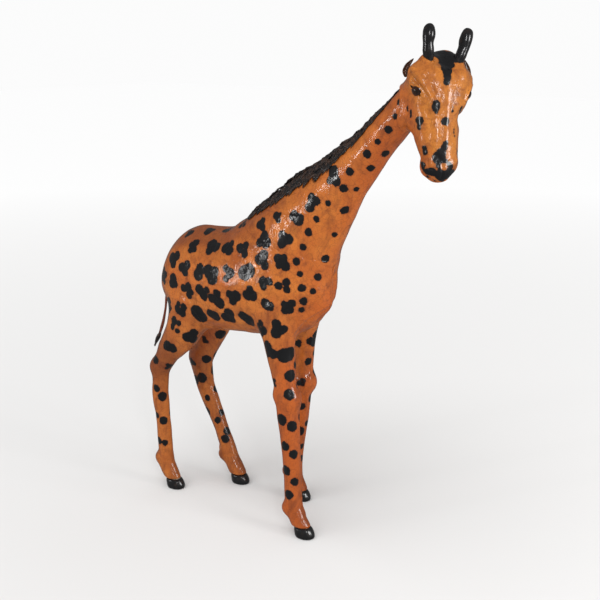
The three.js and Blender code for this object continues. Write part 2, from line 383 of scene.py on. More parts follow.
# Folds of the face: route, width, height.
FACE = [
    ([(10, 2, 16), (4, 2, 15), (-2, 2, 13)], 5.0, -2.5),  # saddle between the horns
    ([(35, 22, 4), (41, 19, 4), (47, 16, 4)], 6.0, -3.2),  # hollow of the left cheek
    ([(12, 0, 17), (30, -0.5, 17), (48, -1, 14), (66, -2, 12.5)], 3.5, 0.8),  # ridge of the nose
    ([(13, -21, 7), (19, -19, 10), (25, -17, 12), (32, -13.5, 13), (37, -11, 13.5)], 1.6, 1.8),
    ([(12, -22, 4), (18, -20.5, 8), (24, -18.5, 10.5), (31, -15, 11.5), (36, -12.5, 12)], 1.2, -1.0),
    ([(9, -19, 9), (16, -16, 13), (24, -13, 15), (31, -10, 15)], 1.6, -0.5),
    ([(13, 27, 7), (19, 25, 10), (26, 22, 13), (33, 17, 14.5)], 1.4, 1.2),
    ([(40, -14, 10), (50, -12.5, 9), (60, -11, 8), (70, -11, 6)], 2.2, -0.55),  # cheek hollows
    ([(40, 14, 10), (50, 12, 9), (60, 11, 8), (70, 10, 6)], 2.2, -0.55),
    ([(72, -15, -4), (79, -14, -2.5), (85, -12, -2.5), (89, -8, -2), (91, -4, -1.5)], 1.0, -1.6),  # mouth
    ([(91, -4, -1.5), (91, 0, 0), (88, 5, 0), (80, 11, -2), (72, 13, -4)], 1.0, -1.6),
    ([(79, -13, 3), (82, -11.5, 1), (83, -9, 1.5)], 0.9, -1.1),  # nostril slits
    ([(81, 8, 3.5), (84, 5.5, 2), (85, 3, 3)], 0.9, -1.1),
    ([(76, -8, 9), (80, -5, 8), (84, -3.5, 5), (87, -3, 1)], 1.2, -0.7),  # cleft of the nose
]
for route, width, height in FACE:
    skull.fold(head, head_route(route), width, height)
head += skull.ripple(9, 0.3, 11) + skull.ripple(4, 0.12, 12)


horns = {side: skull.solid(["horn_" + side], 1.0, 0.35) + skull.ripple(5, 0.35, 14) for side in SIDES}


def slit(side):
    """The almond opening of an eye, as a distance, with its middle and the way out of the head there."""
    out = unit(on_head(0, -0.8 if side == "right" else 0.8, 0.6) - on_head(0, 0, 0))
    along = on_head(0.8, 0.45 if side == "right" else -0.45, 0.4) - on_head(0, 0, 0)
    along = unit(along - (along @ out) * out)
    across = np.cross(out, along)
    shift = (0.3, -1.4, -0.5) if side == "right" else (2, -3, 4)
    centre, _ = skull.settle(head, on_head(*np.add(EYES[side], shift)))
    x, y, z = skull.axes()
    away = [x - centre[0], y - centre[1], z - centre[2]]
    a = sum(c * d for c, d in zip(away, along))
    b = sum(c * d for c, d in zip(away, across))
    bow, lift = 14.6, 13.4  # radius of each lid's arc, and how far its centre lies off the slit
    upper = np.sqrt(a**2 + (b - lift) ** 2) - bow
    lower = np.sqrt(a**2 + (b + lift) ** 2) - bow
    lens = np.maximum(upper, lower)
    return np.maximum(lens, skull.ball(centre, 9)), centre, out


lids = {}
for side in SIDES:
    opening, centre, out = slit(side)
    lids[side] = (centre, out)
    rim = np.exp(-(((opening - 1.1) / 1.0) ** 2)) * (skull.ball(centre, 9) < 0)
    head -= 0.75 * rim.astype(np.float32)

# The head's leather laps over the neck as far as its edge.
LAP = 6.0
LIFT = 0.9  # how far the lapping leather stands above the neck's
head_skin = blend(head, neck_there - LIFT, 7)
ragged = head + skull.ripple(7, 1.0, 21) - LAP
head_skin = carve(head_skin, ragged, 1.0)

head_piece = carve(head_skin, -(blend(head, neck_there - LIFT, 7) + HIDE), 0.3)
head_piece = np.maximum(head_piece, -(neck_there + 0.2))
for side in SIDES:
    head_piece = carve(head_piece, -slit(side)[0], 0.7)


# ------------------ spots
# Where the spots of the right side are: (forward, left, up), which settle on the surface. Most are numbers
# printed by another program, which cast spots read off the photo onto the CAD. So are some of the face's.
BACK = [(-96, -10, 245), (-77, -11, 256), (-57, -10, 258), (-33, -13, 263), (-9, -22, 271), (8, -23, 279)]
FLANK = [
    [(26, -23, 281), (40, -21, 295), (59, -19, 315)],
    [(-84, -25, 243), (-62, -26, 245), (-42, -26, 248), (-24, -27, 249), (-4, -26, 258), (16, -26, 262)],
    [(-104, -28, 230), (-89, -32, 224), (-71, -33, 224), (-38, -34, 227), (-18, -33, 232), (-2, -29, 243)],
    [(14, -26, 243), (1, -32, 224), (18, -29, 224)],
    [(-120, -25, 212), (-104, -32, 209), (-84, -33, 205), (-65, -35, 207), (-33, -34, 207), (-15, -34, 213)],
    [(-112, -27, 186), (-95, -32, 187), (-76, -28, 185), (-60, -29, 186), (-42, -29, 187), (-23, -28, 189)],
    [(3, -31, 205), (20, -27, 206), (-5, -31, 183), (13, -30, 186)],
    [(-102, -32, 169), (-89, -26, 160), (-112, -31, 146)],
    [(3, -31, 165), (19, -27, 163)],
]
BIG = [(-56, -34, 225), (-51, -34, 203)]
OVALS = [
    (54, -19, 294), (65, -12, 289), (44, -20, 281), (37, -22, 270), (55, -11, 268), (32, -22, 257),
    (26, -22, 245), (45, -10, 247), (29, -22, 235), (40, -14, 232), (31, -22, 222), (38, -17, 220),
    (31, -21, 211), (29, -20, 203), (67, -17, 307), (74, -19, 321), (76, -13, 307), (89, -19, 336),
    (89, -14, 325), (99, -20, 346), (108, -20, 355), (100, -12, 338), (114, -22, 365), (118, -22, 376),
]
SHANKS = {
    "front_right": [(21, -26, 145), (8, -30, 137), (22, -28, 128), (16, -32, 106), (25, -29, 100),
                    (20, -32, 82), (27, -29, 76), (21, -32, 60), (29, -30, 50), (24, -33, 38)],
    "front_left": [(13, 16, 163), (2, 12, 160), (10, 17, 143), (5, 15, 123), (3, 17, 98), (2, 18, 72),
                   (-7, 19, 50), (-3, 20, 35)],
    "hind_right": [(-132, -29, 130), (-119, -26, 123), (-134, -28, 100), (-127, -28, 93), (-135, -28, 72),
                   (-127, -28, 68), (-133, -28, 47), (-126, -28, 45),
                   (-150, -20, 112), (-148, -20, 84), (-146, -20, 57)],
    "hind_left": [(-89, 14, 151), (-105, 11, 143), (-107, 14, 122), (-124, 14, 118), (-114, 14, 102),
                  (-108, 15, 82), (-97, 16, 62), (-89, 17, 44),
                  (-135, 20, 127), (-122, 20, 92), (-110, 20, 62)],
}
RIDGE, CLOVER, OVAL, SHANK = 5.6, 8.0, 3.5, 4.5  # half sizes
BARE = 9.0  # stands for any distance that is well clear of paint
# By number of lobes, as shares of a spot's half size: how far out a lobe sits, and its radius.
LOBE_OUT = (0.1, 0.36, 0.50, 0.56)
LOBE_RADIUS = (0.85, 0.68, 0.53, 0.45)


class Paint:
    """Painted spots as balls set on the surface, each with the way out of the surface there."""

    def __init__(self):
        self.rng = np.random.default_rng(17)
        self.spots = []

    def spot(self, space, field, at, size, lobes):
        """A ragged spot: a ring of discs, turned and stretched at random."""
        at, out = space.settle(field, at)
        up = np.array((0, 0, 1.0)) if abs(out[2]) < 0.9 else np.array((0, -1.0, 0))
        up = unit(up - (up @ out) * out)
        side = np.cross(up, out)
        turn = self.rng.uniform(0, 2 * math.pi)
        long = self.rng.uniform(0.75, 1.15)
        discs = []
        for lobe in range(lobes):
            angle = turn + 2 * math.pi * (lobe + self.rng.uniform(-0.15, 0.15)) / lobes
            reach = size * LOBE_OUT[lobes - 1] * self.rng.uniform(0.8, 1.25)
            radius = size * LOBE_RADIUS[lobes - 1] * self.rng.uniform(0.75, 1.25)
            aim = at + reach * (math.cos(angle) * up + long * math.sin(angle) * side)
            discs.append((aim, radius))
        self.patch(space, field, discs)

    def patch(self, space, field, discs):
        """Paint made of discs, each a place and a radius."""
        settled = [(space.settle(field, at), radius) for at, radius in discs]
        self.spots.append([(at, radius, out) for (at, out), radius in settled])

    def distance(self, points, normals):
        """How far each point lies outside the nearest paint."""
        result = np.full(len(points), BARE)
        for discs in self.spots:
            middle = np.mean([at for at, _, _ in discs], axis=0)
            spread = max(np.linalg.norm(at - middle) + radius for at, radius, _ in discs)
            near = np.where(np.abs(points - middle).max(1) < spread + 4)[0]
            if not len(near):
                continue
            spot = np.full(len(near), BARE)
            for at, radius, out in discs:
                away = np.linalg.norm(points[near] - at, axis=1) - radius
                away = np.where(normals[near] @ out > -0.1, away, BARE)
                spot = blend(spot, away, 1.6)
            result[near] = np.minimum(result[near], spot)
        return result


def centre_line(node, way, count):
    """Places along the middle of a long CAD node, from its start to its end along way."""
    spread = 8.0  # how far to each side a place takes the node's corners into account
    points, _ = cad_mesh(node)
    reach = points @ way
    stops = np.linspace(reach.min() + 1, reach.max() - 1, count)
    near = np.exp(-(((reach - stops[:, None]) / spread) ** 2))
    middle = near @ points / near.sum(1, keepdims=True)
    return middle + (stops - middle @ way)[:, None] * way


paint = Paint()


def both_sides(p, size, lobes, shift=2.5):
    """A spot, and its like on the unseen side, a little displaced."""
    paint.spot(body, surface, place(*p), size, lobes[0])
    jitter = paint.rng.uniform(-shift, shift, 2)
    paint.spot(body, surface, place(p[0] + jitter[0], -p[1], p[2] + jitter[1]), size, lobes[1])


for p in BACK:
    both_sides(p, RIDGE, (3, 3))
for row in FLANK:
    for p in row:
        both_sides(p, CLOVER, paint.rng.choice((2, 3, 3, 4), 2))
for p in BIG:
    both_sides(p, CLOVER * 1.2, (3, 3))
for p in OVALS:
    both_sides(p, OVAL, (1, 1), 3)
for leg, spots in SHANKS.items():
    middle = np.mean(box_of(["leg_core_" + leg]), axis=0)[0]
    for i, p in enumerate(spots):  # larger and lobed above the knee, round below it
        size = SHANK * (1.2 if p[2] > 90 else 1)
        lobes = 3 if p[2] > 110 and i % 2 else 1
        paint.spot(body, surface, place(*p), size * (0.85 if lobes == 3 else 1), lobes)
        paint.spot(body, surface, place(p[0] + 2, 2 * middle - p[1], p[2] + 7), size, 1)

# The mane's way up the neck, and the way out of the neck from it.
mane_low, mane_high = box_of(["mane"])
MANE_WAY = unit(np.array((0, mane_low[1] - mane_high[1], mane_high[2] - mane_low[2])))
MANE_UP = np.array((0, MANE_WAY[2], -MANE_WAY[1]))
CREST_STOPS = 40
NECK_RADIUS = 17.0  # where the mane is fullest
crest = centre_line("mane", MANE_WAY, CREST_STOPS)


def mane_size(share):
    """How full the mane is, from the withers to the head."""
    return float(np.interp(share, (0, 0.12, 0.5, 0.8, 1), (0.55, 0.95, 1, 0.65, 0.3)))


def mane_place(share, turn):
    """A place on the mane: how far up it, and how far round the neck from its crest."""
    at = np.array([np.interp(share * (CREST_STOPS - 1), range(CREST_STOPS), crest[:, a]) for a in range(3)])
    radius = NECK_RADIUS * mane_size(share)
    return at + radius * (math.sin(turn) * np.array((1, 0, 0)) - (1 - math.cos(turn)) * MANE_UP)


# The crest is painted black under the mane.
for share in np.linspace(0, 1, 44):
    for turn in (-0.55, 0, 0.55):
        size = 5.2 * mane_size(share) + paint.rng.uniform(-1.2, 1.0)
        paint.patch(body, surface, [(mane_place(share, turn), size)])

# The black patches of the face: discs as ((forward, left, up), radius), laid round such places.
FOREHEAD = [((25, -1, 17), 2.6), ((21, -0.5, 17), 3.6), ((16, 0.5, 17), 4.6), ((10, 3, 14), 6),
            ((4, 5, 10), 7), ((5, 11, 11), 6), ((7, 13, 12), 5), ((-1, 2, 8), 6)]
MUZZLE = [((67, -2.5, 12), 1.6), ((70, -3.5, 11), 2.8), ((74, -5.5, 9), 4), ((77, -7, 8), 4.6),
          ((81, -5, 7), 4.8), ((84, 0, 6), 4.6), ((87, -3, 3), 5.5), ((87, 4, 2), 4.5), ((85, -9, 1.5), 3.4),
          ((80, -13.5, 0), 2.8), ((84, -12.5, -0.5), 2.5)]
MOUTH = [((78, -14, -2.5), 1.1), ((82, -13, -2.5), 1.2), ((87, -10, -2.3), 1.5), ((91, -5, -1.5), 1.8),
         ((91, 0, 0), 1.8), ((87, 6, 0), 1.6), ((80, 10, -2), 1.2)]
FACE_SPOTS = [
    [((40.5, -9, 14), 3.1), ((43, -9, 13.5), 2.4), ((45.5, -9, 13), 1.1)],
    [((49, -18, 3), 2.7), ((49.5, -16, 4), 2.6), ((53, -16.5, 2), 1.8), ((55, -16, 2), 0.9)],
    [((52, -2, 13), 3.0)],
    [((42, 3, 15), 0.8), ((45, 3.2, 15), 0.9)],
    [((42, 12, 12), 1.7), ((45, 12.5, 11), 2.0), ((48, 12.5, 10), 1.5)],
    [((57, 5, 12), 0.8), ((59.5, 5.2, 12), 1.0), ((62, 6, 11), 0.8)],
    [((69, -15, 3), 2.0), ((72, -15, 3), 2.2)],
    [((72, 10, 6), 1.4), ((75, 10, 5), 1.4)],
    [((32, -22, -8), 1.9), ((36, -21, -8), 2.2), ((39, -20, -8), 1.3)],
    [((41, -18, -4), 1.5), ((44, -17, -4), 1.6)],
    [((33, 21, -6), 2.4), ((50, 14, 0), 2.4), ((52, 14, -1), 2)],
    [((47, -13, -16), 2.2), ((48, 10, -16), 2.2)],
    [((-2, -11, -4), 2.6), ((-3, -11, -7), 2.2)],
    [((-2, 11, -5), 2.8)],
]
face = Paint()
for discs in [FOREHEAD, MUZZLE, MOUTH, *FACE_SPOTS]:
    face.patch(skull, head, [(on_head(*at), radius) for at, radius in discs])
NOSTRIL_PATCHES = [((81, -11, 4), 2.5), ((83, -3, 7), 2.7)]  # left bare


# ------------------ materials
class Nodes:
    """A material under construction."""

    def __init__(self, name):
        self.material = bpy.data.materials.new(name)
        self.material.use_nodes = True
        self.tree = self.material.node_tree
        self.shader = self.tree.nodes["Principled BSDF"]
        coordinates = self.add("ShaderNodeTexCoord")
        scale = self.add("ShaderNodeMapping", coordinates.outputs["Object"])
        scale.inputs["Scale"].default_value = (1 / MM, 1 / MM, 1 / MM)
        self.at = scale.outputs[0]

    def add(self, kind, *inputs, **settings):
        """A node with its first inputs linked or set. settings are properties, or sockets by name."""
        node = self.tree.nodes.new(kind)
        for key, value in settings.items():
            if hasattr(node, key):
                setattr(node, key, value)
        for i, value in enumerate(inputs):
            self.put(node.inputs[i], value)
        for key, value in settings.items():
            if not hasattr(node, key):
                self.put(node.inputs[key.replace("_", " ")], value)
        return node

    def put(self, socket, value):
        if isinstance(value, bpy.types.NodeSocket):
            self.tree.links.new(value, socket)
        elif value is not None:
            socket.default_value = value

    def noise(self, size, detail=3.0, rough=0.5, warp=0.0, at=None):
        node = self.add("ShaderNodeTexNoise", Vector=at or self.at, Scale=1 / size, Detail=detail)
        node.inputs["Roughness"].default_value = rough
        node.inputs["Distortion"].default_value = warp
        return node.outputs["Fac"]

    def stretched(self, along):
        node = self.add("ShaderNodeMapping", self.at)
        node.inputs["Scale"].default_value = along
        return node.outputs[0]

    def math(self, operation, *values):
        return self.add("ShaderNodeMath", *values, operation=operation).outputs[0]

    def ramp(self, value, low, high, out_low=0.0, out_high=1.0):
        node = self.add("ShaderNodeMapRange", value, low, high, out_low, out_high)
        return node.outputs[0]

    def mix(self, share, a, b):
        node = self.add("ShaderNodeMix", data_type="RGBA")
        self.put(node.inputs[0], share)
        self.put(node.inputs[6], a)
        self.put(node.inputs[7], b)
        return node.outputs[2]

    def value(self, name):
        return self.add("ShaderNodeAttribute", attribute_name=name).outputs["Fac"]

    def bump(self, height, distance, strength=1.0, under=None):
        node = self.add("ShaderNodeBump", Height=height, Strength=strength, Distance=distance * MM)
        if under is not None:
            self.put(node.inputs["Normal"], under)
        return node.outputs[0]

    def coat(self, roughness):
        self.shader.inputs["Coat Weight"].default_value = 1.0
        self.shader.inputs["Coat Roughness"].default_value = roughness
        self.shader.inputs["Coat IOR"].default_value = 1.5

    def set(self, **sockets):
        for key, value in sockets.items():
            self.put(self.shader.inputs[key.replace("_", " ")], value)
        return self.material


INK = (0.006, 0.006, 0.007, 1)
WARM = (0.46, 0.085, 0.009)  # the redder leather of the chest and the throat


def leather(name, light, deep, stain_and_shade, grain=(1, 1, 1)):
    """Varnished hand-painted leather. light, deep and stain are its colours, and grain draws it out."""
    n = Nodes(name)
    cloud = n.noise(26, 4, 0.6, 0.4)
    streak = n.noise(9, 5, 0.65, 0.6, n.stretched(grain))
    colour = n.mix(n.ramp(cloud, 0.35, 0.65), (*light, 1), (*deep, 1))
    colour = n.mix(n.math("MULTIPLY", n.value("warm"), 0.75), colour, (*WARM, 1))
    colour = n.mix(n.ramp(streak, 0.48, 0.72, 0, 0.75), colour, (*stain_and_shade, 1))
    # Darker towards brown by the attribute: a little low on the legs, and painted shade on the thighs and on
    # upward faces.
    colour = n.mix(n.ramp(n.value("brown_and_shade"), 0, 1, 0, 0.85), colour, (*stain_and_shade, 1))
    cracks = n.add("ShaderNodeTexVoronoi", Vector=n.at, Scale=1 / 5.5, feature="DISTANCE_TO_EDGE").outputs[0]
    warped = n.math("ADD", cracks, n.math("MULTIPLY", n.noise(2.5, 3), 0.16))
    crack = n.ramp(warped, 0.06, 0.13, 1, 0)
    colour = n.mix(n.math("MULTIPLY", crack, 0.35), colour, (*[c * 0.35 for c in stain_and_shade], 1))
    pores = n.noise(0.9, 2)
    colour = n.mix(n.ramp(pores, 0.55, 0.75, 0, 0.3), colour, (*[c * 0.4 for c in stain_and_shade], 1))
    waves = n.math("MULTIPLY", n.noise(4.6, 2), 2.4)
    teeth = n.math("MULTIPLY", n.noise(1.4, 4, 0.6), 1.8)
    edge = n.math("ADD", n.value("ink"), n.math("SUBTRACT", n.math("ADD", waves, teeth), 2.1))
    ink = n.ramp(edge, -0.14, 0.14, 1, 0)
    halo = n.ramp(edge, 0.1, 1.1, 0.3, 0)
    colour = n.mix(halo, colour, (*[c * 0.45 for c in stain_and_shade], 1))
    colour = n.mix(ink, colour, INK)
    relief = n.bump(n.noise(5.5, 4, 0.55, 0.8, n.stretched(grain)), 0.9, 0.55)
    relief = n.bump(crack, 0.25, -0.35, relief)
    fine = n.bump(pores, 0.12, 0.35, relief)
    fine = n.bump(ink, 0.12, 0.5, fine)
    n.coat(0.045)
    n.shader.inputs["Specular IOR Level"].default_value = 0.25
    n.put(n.shader.inputs["Coat Normal"], relief)
    return n.set(Base_Color=colour, Roughness=n.ramp(pores, 0.3, 0.8, 0.34, 0.5), Normal=fine)


def black_gloss(name, tint, roughness, lump):
    """Thick black varnish over carved wood."""
    n = Nodes(name)
    worn = n.noise(4, 4, 0.6)
    colour = n.mix(n.ramp(worn, 0.55, 0.8), INK, (*tint, 1))
    relief = n.bump(n.noise(lump, 3), 0.5, 0.3)
    n.coat(0.05)
    n.put(n.shader.inputs["Coat Normal"], relief)
    rough = n.ramp(worn, 0.3, 0.7, roughness, roughness + 0.12)
    return n.set(Base_Color=colour, Roughness=rough, Normal=relief)


def hair(name):
    """Black strands, browner and greyer where the paint has worn."""
    n = Nodes(name)
    worn = n.noise(3.5, 4, 0.7, 0.3)
    colour = n.mix(n.ramp(worn, 0.45, 0.62), INK, (0.055, 0.028, 0.018, 1))
    colour = n.mix(n.ramp(n.noise(1.2, 3), 0.6, 0.75, 0, 0.6), colour, (0.16, 0.10, 0.07, 1))
    relief = n.bump(n.noise(0.8, 3), 0.25, 0.5)
    n.coat(0.15)
    n.shader.inputs["Coat Weight"].default_value = 0.6
    return n.set(Base_Color=colour, Roughness=n.ramp(worn, 0.3, 0.7, 0.3, 0.5), Normal=relief)


def plain(name, light, dark, size, roughness, metallic=0.0, depth=0.2):
    """Paper pulp, wood or wire: two tones mixed by noise, with a matching relief."""
    n = Nodes(name)
    grain = n.noise(size, 5, 0.6)
    n.shader.inputs["Metallic"].default_value = metallic
    colour = n.mix(n.ramp(grain, 0.35, 0.65), (*light, 1), (*dark, 1))
    return n.set(Base_Color=colour, Roughness=n.ramp(grain, 0.3, 0.7, roughness, roughness + 0.15),
                 Normal=n.bump(grain, depth, 0.6))


def bead(name):
    """A dark brown glass eye."""
    n = Nodes(name)
    colour = n.mix(n.ramp(n.noise(2.2, 3), 0.4, 0.6), (0.008, 0.004, 0.003, 1), (0.035, 0.012, 0.006, 1))
    n.coat(0.03)
    return n.set(Base_Color=colour, Roughness=n.ramp(n.noise(1.1, 2), 0.3, 0.7, 0.06, 0.12))


# BROWN colours the leather's stains and also its painted shade on the thighs and upward faces.
TAN, RUST, BROWN = (0.60, 0.178, 0.024), (0.47, 0.112, 0.015), (0.17, 0.038, 0.010)
HEAD_TAN, HEAD_RUST = (0.56, 0.19, 0.026), (0.40, 0.115, 0.017)
flank_leather = leather("flank_leather", TAN, RUST, BROWN)
neck_leather = leather("neck_leather", TAN, RUST, BROWN, (1, 0.8, 0.45))
head_leather = leather("head_leather", HEAD_TAN, HEAD_RUST, BROWN)
leg_leather = leather("leg_leather", (0.56, 0.165, 0.025), (0.40, 0.10, 0.015), BROWN, (1, 1, 0.4))
thong_leather = leather(
    "thong_leather", (0.22, 0.05, 0.02), (0.15, 0.035, 0.015), (0.1, 0.02, 0.01), (1, 1, 0.3)
)
ear_leather = leather("ear_leather", (0.075, 0.03, 0.015), (0.045, 0.018, 0.01), (0.02, 0.01, 0.007))
horn_black = black_gloss("horn_black", (0.03, 0.017, 0.012), 0.22, 3.5)
hoof_black = black_gloss("hoof_black", (0.035, 0.022, 0.016), 0.3, 2.2)
mane_black = hair("mane_black")
eye_glass = bead("eye_glass")
pulp = plain("pulp", (0.62, 0.54, 0.42), (0.45, 0.38, 0.28), 2.5, 0.8, depth=0.4)
dowel_wood = plain("dowel_wood", (0.66, 0.46, 0.26), (0.5, 0.32, 0.16), 1.8, 0.55)
wire_steel = plain("wire_steel", (0.5, 0.5, 0.49), (0.36, 0.35, 0.34), 0.9, 0.35, 1.0)

for node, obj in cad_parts.items():
    inner = {"leg_wire": wire_steel, "neck_dowel": dowel_wood}
    chosen = next((m for start, m in inner.items() if node.startswith(start)), pulp)
    obj.data.materials.clear()
    obj.data.materials.append(chosen)


# ------------------ the leather pieces
def brown_and_painted_shade(points, normals):
    """How far the leather is darkened towards brown: a little low on the legs, and with painted shade on the
    thighs and where it faces upwards.
    """
    forward, up = -points[:, 1], points[:, 2]
    down = np.clip((120 - up) / 110, 0, 1)
    # Painted shade over the thighs, where the hind legs meet the body.
    painted_shade_on_thighs = np.clip((-98 - forward) / 20, 0, 1)
    painted_shade_on_thighs *= np.clip((168 - up) / 20, 0, 1) * np.clip((up - 90) / 30, 0, 1)
    # Painted shade on faces turned upwards.
    painted_shade_on_top = np.clip((normals[:, 2] - 0.15) / 0.55, 0, 1)
    return np.clip(0.2 * down + 0.8 * painted_shade_on_thighs + 0.95 * painted_shade_on_top, 0, 1)


def warmth(points):
    """How much redder the leather is: over the chest, up the throat and on the insides of the legs."""
    forward, up = -points[:, 1], points[:, 2]
    chest = np.clip((forward - 32 - 0.42 * (up - 230)) / 22, 0, 1) * np.clip((400 - up) / 60, 0, 1)
    legs_inside = np.clip((14 - np.abs(points[:, 0])) / 6, 0, 1) * np.clip((170 - up) / 20, 0, 1)
    return np.clip(chest + 0.8 * legs_inside, 0, 1)


def cheeks(points):
    """How much redder the head's leather is, towards the cheeks and the jaw."""
    height = (points - HEAD_AT) @ (HEAD_TURN @ place(0, 0, 1))
    return np.clip((8 - height) / 16, 0, 0.8)


def leather_piece(name, space, field, painter, slot, material, node):
    points, quads = space.quads(field)
    obj = mesh_object(name, points, quads)
    points, normals = points_of(obj)
    ink = painter.distance(points, normals)
    if painter is face:
        for at, radius in NOSTRIL_PATCHES:
            at, _ = skull.settle(head, on_head(*at))
            ink = np.maximum(ink, radius - np.linalg.norm(points - at, axis=1))
        warm, brown_and_shade = cheeks(points), np.zeros(len(points))
    else:
        warm, brown_and_shade = warmth(points), brown_and_painted_shade(points, normals)
    attribute(obj, "ink", ink)
    attribute(obj, "warm", warm)
    attribute(obj, "brown_and_shade", brown_and_shade)
    return finish_piece(obj, slot, material, node)


SEAM = 0.55  # turns a difference of two distances into a distance from their border
TUCK = 1.2  # how far a panel runs on under its neighbour
SUNK = 0.14  # and how much lower it lies there
WITHERS = 3.5  # how much of the neck's root the torso's leather takes
members = {"torso": torso, "neck": neck + WITHERS, **legs}
x, _, z = body.axes()
ankle = box_of(["leg_hide_" + LEGS[0]])[0][2]  # height of the cuffs' lower edges
head_inside = body.solid(["head_core"], 2.0, OUT - HIDE)  # the neck's leather stops at it


def panel(name, sunk=SUNK, tuck=TUCK):
    """A member's own leather: a shell of the body's surface as far as its neighbours' panels."""
    others = np.minimum.reduce([field for other, field in members.items() if other != name])
    shell = np.maximum(surface + sunk, -(surface + HIDE))
    return carve(shell, SEAM * (members[name] - others) - tuck, 0.5)


for side, sign in (("right", 1), ("left", -1)):
    half = carve(panel("torso", 0, 0.2), sign * x, 0.3)
    leather_piece(f"torso_{side}_panel", body, half, paint, "spotted_leather", flank_leather,
                  "torso_hide_" + side)
neck_panel = np.maximum(panel("neck"), -head_inside)
leather_piece("neck_panel", body, neck_panel, paint, "spotted_leather", neck_leather, "neck_hide")
for leg in LEGS:
    sleeve = carve(panel(leg), ankle - z, 0.8)
    leather_piece(f"leg_{leg}_sleeve", body, sleeve, paint, "leg_leather", leg_leather, "leg_hide_" + leg)
for side in SIDES:
    head_piece = np.maximum(head_piece, -(horns[side] - 0.05))
leather_piece("head_skin", skull, head_piece, face, "spotted_leather", head_leather, "head_hide")


def surface_piece(name, space, field, slot, material, node):
    return finish_piece(mesh_object(name, *space.quads(field)), slot, material, node)


# The hollows of the face go deeper than the CAD's head core, so the core is made again to fit them.
inside = np.maximum(head + HIDE + 0.3, -neck_there)
surface_piece("head_pulp", skull, inside, "paper_core", pulp, "head_core")


# ------------------ horns, hooves and eyes
EYE_RADIUS, EYE_SUNK = 5.2, 3.9  # a bead's radius, and how deep its middle lies

for side in SIDES:
    surface_piece("horn_" + side + "_knob", skull, horns[side], "black_horn", horn_black, "horn_" + side)
    centre, out = lids[side]
    bead_field = skull.ball(centre - EYE_SUNK * out, EYE_RADIUS)
    surface_piece("eye_" + side + "_bead", skull, bead_field, "eye_glass", eye_glass, "eye_" + side)

for leg in LEGS:
    hoof = "hoof_" + leg
    hoof_low, hoof_high = box_of([hoof])
    room = Space(hoof_low - 3, hoof_high + 3, FINE_STEP)
    field = room.solid([hoof], 1.1, 0.35) + room.ripple(6, 0.25, 31)
    field = carve(field, -room.axes()[2], 0.6)
    surface_piece(hoof + "_shoe", room, field, "black_hoof", hoof_black, hoof)


# ------------------ strands
def unpainted(obj):
    attribute(obj, "ink", np.full(len(obj.data.vertices), BARE))
    attribute(obj, "brown_and_shade", np.zeros(len(obj.data.vertices)))
    return obj


def tube(path, across, wide, deep, sides=6):
    """A closed tapering strand along a path: its points and quads. across is its wide way at each place."""
    path = np.array(path)
    along = np.gradient(path, axis=0)
    rings = []
    for at, way, flat, w, d in zip(path, along, across, wide, deep):
        way = unit(way)
        flat = unit(flat - (flat @ way) * way)
        thick = np.cross(way, flat)
        turn = 2 * math.pi * np.arange(sides) / sides
        rings.append(at + w * np.cos(turn)[:, None] * flat + d * np.sin(turn)[:, None] * thick)
    points = np.concatenate([*rings, rings[0].mean(0, keepdims=True), rings[-1].mean(0, keepdims=True)])
    last = (len(rings) - 1) * sides
    faces = []
    for side in range(sides):
        after = (side + 1) % sides
        for ring in range(0, last, sides):
            faces.append((ring + side, ring + after, ring + sides + after, ring + sides + side))
        faces.append((len(points) - 2, after, side, len(points) - 2))
        faces.append((len(points) - 1, last + side, last + after, len(points) - 1))
    return points, faces


def strands_object(name, tubes):
    """Many tubes as one mesh. The caps are triangles, the rest quads."""
    mesh = bpy.data.meshes.new(name)
    points, faces, start = [], [], 0
    for tube_points, tube_faces in tubes:
        points.extend(map(tuple, tube_points * MM))
        for face_ in tube_faces:
            corners = tuple(i + start for i in face_)
            faces.append(corners if len(set(corners)) == 4 else corners[:3])
        start += len(tube_points)
    mesh.from_pydata(points, [], faces)
    mesh.validate()
    mesh.shade_smooth()
    obj = bpy.data.objects.new(name, mesh)
    bpy.context.scene.collection.objects.link(obj)
    return obj


# Rows of locks: how far round the neck they are rooted, how far they turn aside, length, lift.
MANE_ROWS = [(0.85, 0.42, 12, 0.5), (0.62, 0.42, 14, 0.8), (0.38, 0.4, 15, 1.2), (0.08, 0.3, 14, 1.8)]


